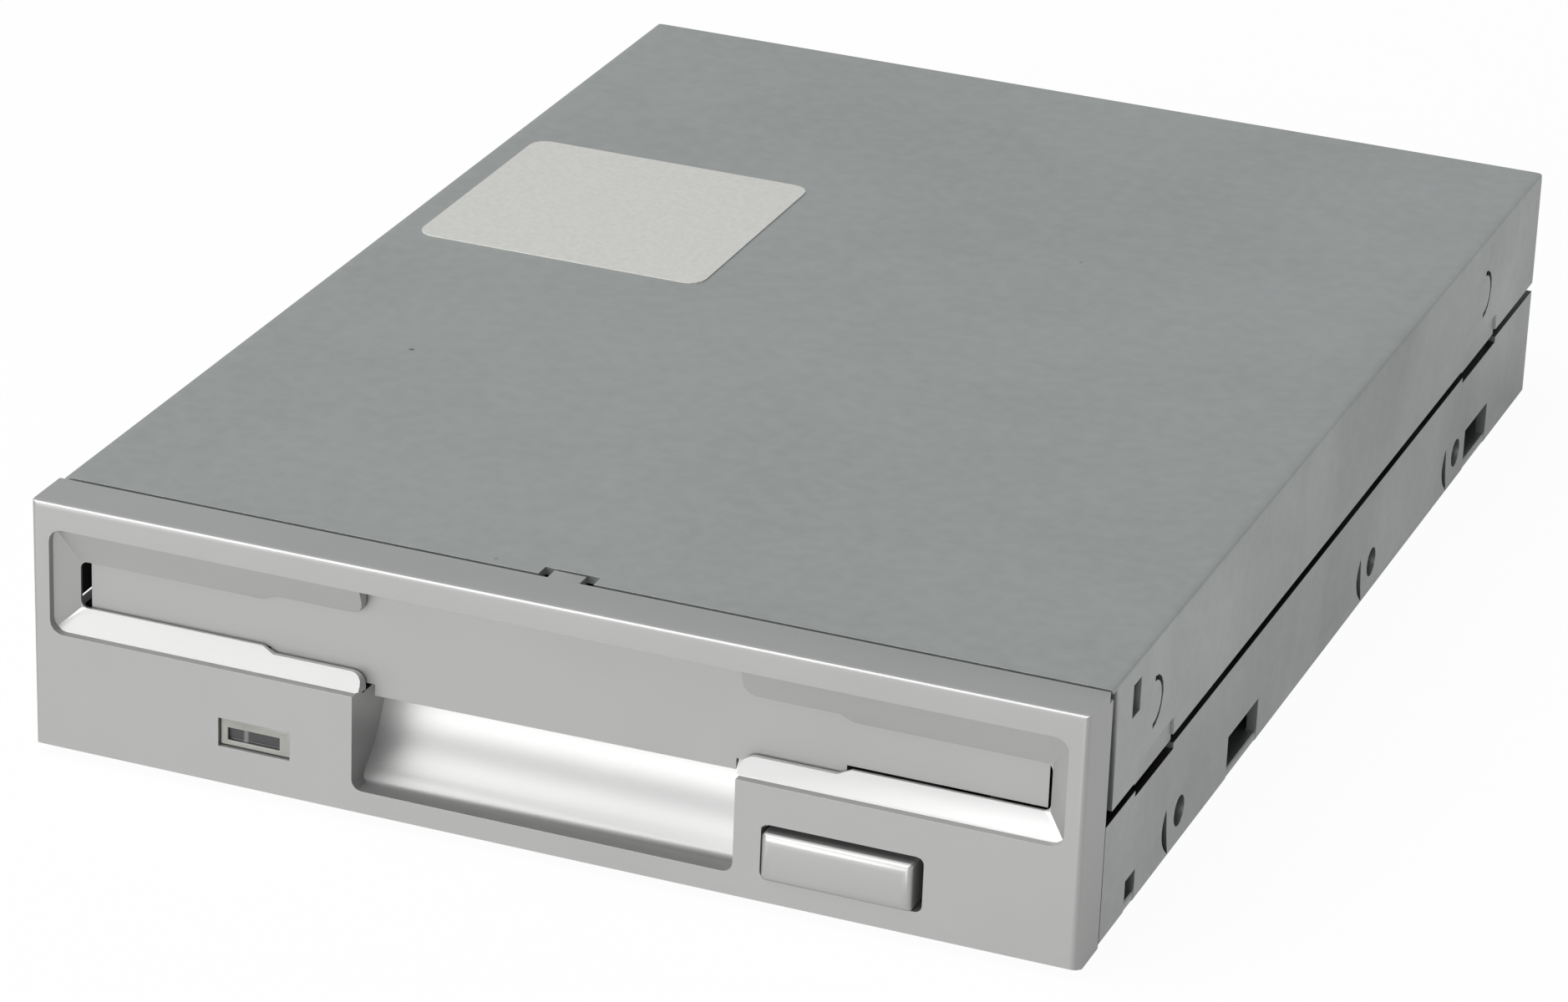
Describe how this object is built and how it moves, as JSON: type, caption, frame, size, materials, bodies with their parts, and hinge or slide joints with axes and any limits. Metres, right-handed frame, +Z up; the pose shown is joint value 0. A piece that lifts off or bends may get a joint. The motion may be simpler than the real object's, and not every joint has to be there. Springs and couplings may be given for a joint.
{
  "type": "internal floppy disk drive",
  "caption": "Slim internal floppy disk drive: moulded bezel with slot, flap, thumb scoop and eject button, steel cover and tray, loading mechanism, spindle motor and screw-driven heads.",
  "frame": {"origin": "under the middle of the drive, on the plane of its bottom face", "axes": "+X to the right seen from the front, +Y from the bezel to the connectors, +Z up"},
  "size_m": [0.1016, 0.1468, 0.0254],
  "materials": {
    "bezel_plastic": "fine-grained moulded grey ABS",
    "clear_plastic": "milky translucent moulding",
    "cover_sheet": "dull zinc-plated sheet, faintly mottled",
    "chassis_sheet": "dull plated pressed steel",
    "bright_steel": "bright plated steel",
    "label_paper": "blank paper label, matt",
    "brass": "turned brass",
    "circuit_board": "green solder mask on glass-fibre board",
    "winding": "enamelled copper wire",
    "magnet": "bonded ferrite",
    "dark_plastic": "glass-filled black moulding",
    "pale_plastic": "natural nylon moulding",
    "flat_cable": "amber polyimide film"
  },
  "bodies": {
    "base": {"chassis": "chassis_sheet", "top_cover": "cover_sheet", "cover_label": "label_paper", "front_bezel": "bezel_plastic", "light_guide": "clear_plastic", "lamp": "clear_plastic", "door_spring": "bright_steel", "slide_post_left_front": "brass", "slide_post_left_rear": "brass", "slide_post_right_front": "brass", "slide_post_right_rear": "brass", "slide_spring_left": "bright_steel", "slide_spring_right": "bright_steel", "motor_board": "circuit_board", "spindle_bearing": "brass", "stator": "winding", "disk_switch": "dark_plastic", "write_protect_switch": "dark_plastic", "density_switch": "dark_plastic", "guide_rod": "bright_steel", "rod_clamp_front": "dark_plastic", "rod_clamp_rear": "dark_plastic", "screw_bush": "brass", "stepper_bracket": "bright_steel", "stepper_case": "chassis_sheet", "main_board": "circuit_board", "data_connector": "dark_plastic", "power_connector": "pale_plastic", "control_chip": "dark_plastic", "driver_chip": "dark_plastic", "track_zero_sensor": "dark_plastic", "head_cable": "flat_cable"},
    "door": {"door_flap": "bezel_plastic"},
    "slide": {"slide_plate": "bright_steel", "eject_button": "bezel_plastic"},
    "holder": {"disk_holder": "bright_steel", "holder_pin_left_front": "bright_steel", "holder_pin_left_rear": "bright_steel", "holder_pin_right_front": "bright_steel", "holder_pin_right_rear": "bright_steel", "lever_pivot": "brass", "lever_spring": "bright_steel"},
    "lever": {"shutter_lever": "chassis_sheet", "lever_peg": "brass"},
    "spindle": {"spindle_hub": "bright_steel", "hub_magnet": "magnet", "rotor_yoke": "chassis_sheet", "ring_magnet": "magnet"},
    "drive_pin": {"drive_pin": "bright_steel"},
    "screw": {"lead_screw": "bright_steel"},
    "carriage": {"head_carriage": "dark_plastic", "lower_head": "bright_steel", "arm_spring": "bright_steel"},
    "head_arm": {"upper_arm": "dark_plastic", "upper_head": "bright_steel"},
    "disk_plunger": {"disk_plunger": "pale_plastic"},
    "write_protect_plunger": {"write_protect_plunger": "pale_plastic"},
    "density_plunger": {"density_plunger": "pale_plastic"}
  },
  "joints": [
    {"name": "eject_slide", "type": "slide", "parent": "base", "child": "slide", "axis": [0, -1, 0], "range_m": [0, 0.0055], "deforming": ["slide_spring_left", "slide_spring_right"]},
    {"name": "holder_drop", "type": "slide", "parent": "base", "child": "holder", "axis": [0, 0, -1], "range_m": [0, 0.003]},
    {"name": "lever_turn", "type": "hinge", "parent": "holder", "child": "lever", "pos_m": [0.028, 0.0014, 0.0207], "axis": [0, 0, 1], "range_deg": [0, 45], "deforming": ["lever_spring"]},
    {"name": "door_swing", "type": "hinge", "parent": "base", "child": "door", "pos_m": [0, -0.069, 0.022], "axis": [-1, 0, 0], "range_deg": [-80, 0], "stiffness_Nm_per_rad": 0.002, "springref_deg": 11.46, "deforming": ["door_spring"]},
    {"name": "spindle_spin", "type": "hinge", "parent": "base", "child": "spindle", "pos_m": [0, -0.0181, 0.0082], "axis": [0, 0, 1], "continuous": true},
    {"name": "drive_pin_press", "type": "slide", "parent": "spindle", "child": "drive_pin", "axis": [0, 0, -1], "range_m": [0, 0.0012], "stiffness_N_per_m": 60, "springref_m": -0.0005},
    {"name": "carriage_slide", "type": "slide", "parent": "base", "child": "carriage", "axis": [0, -1, 0], "range_m": [0, 0.0148], "deforming": ["head_cable"]},
    {"name": "lead_screw_turn", "type": "hinge", "parent": "base", "child": "screw", "pos_m": [-0.02, 0.018, 0.0086], "axis": [0, 1, 0], "range_deg": [0, 1421]},
    {"name": "head_lift", "type": "hinge", "parent": "carriage", "child": "head_arm", "pos_m": [0, 0.0454, 0.0165], "axis": [1, 0, 0], "range_deg": [0, 12.5], "deforming": ["arm_spring"]},
    {"name": "disk_plunger_press", "type": "slide", "parent": "base", "child": "disk_plunger", "axis": [0, 0, -1], "range_m": [0, 0.0012], "stiffness_N_per_m": 60, "springref_m": -0.0005},
    {"name": "write_protect_plunger_press", "type": "slide", "parent": "base", "child": "write_protect_plunger", "axis": [0, 0, -1], "range_m": [0, 0.0012], "stiffness_N_per_m": 60, "springref_m": -0.0005},
    {"name": "density_plunger_press", "type": "slide", "parent": "base", "child": "density_plunger", "axis": [0, 0, -1], "range_m": [0, 0.0012], "stiffness_N_per_m": 60, "springref_m": -0.0005}
  ],
  "couplings": [
    {"joint": "holder_drop", "follows": "eject_slide", "ratio": 0.54545},
    {"joint": "lever_turn", "follows": "eject_slide", "rad_per_m": 142.79},
    {"joint": "head_lift", "follows": "eject_slide", "rad_per_m": 39.66},
    {"joint": "lead_screw_turn", "follows": "carriage_slide", "rad_per_m": 1675.5}
  ]
}
